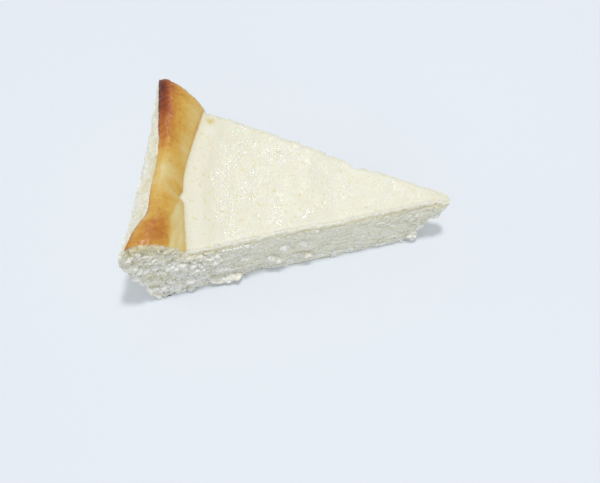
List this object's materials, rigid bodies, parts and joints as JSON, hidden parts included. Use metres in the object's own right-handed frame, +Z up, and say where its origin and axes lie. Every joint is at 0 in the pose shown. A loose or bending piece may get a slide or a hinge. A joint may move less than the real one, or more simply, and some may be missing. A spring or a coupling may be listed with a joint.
{
  "type": "cheesecake slice",
  "caption": "Wedge of baked curd cheesecake without a base, with a raised browned rim at its wide end, pale torn cut faces and a flat underside that it rests on.",
  "frame": {"origin": "middle of the slice's footprint box, on the plane that it rests on", "axes": "+X along the slice to its tip, with the browned rim at -X; -Y towards the cut face that the picture shows; +Z up"},
  "size_m": [0.1248, 0.0904, 0.0358],
  "materials": {
    "curd": "soft satin top, torn matte cut faces, browned glossy rim"
  },
  "bodies": {
    "root": {"cheesecake": "curd"}
  },
  "joints": []
}
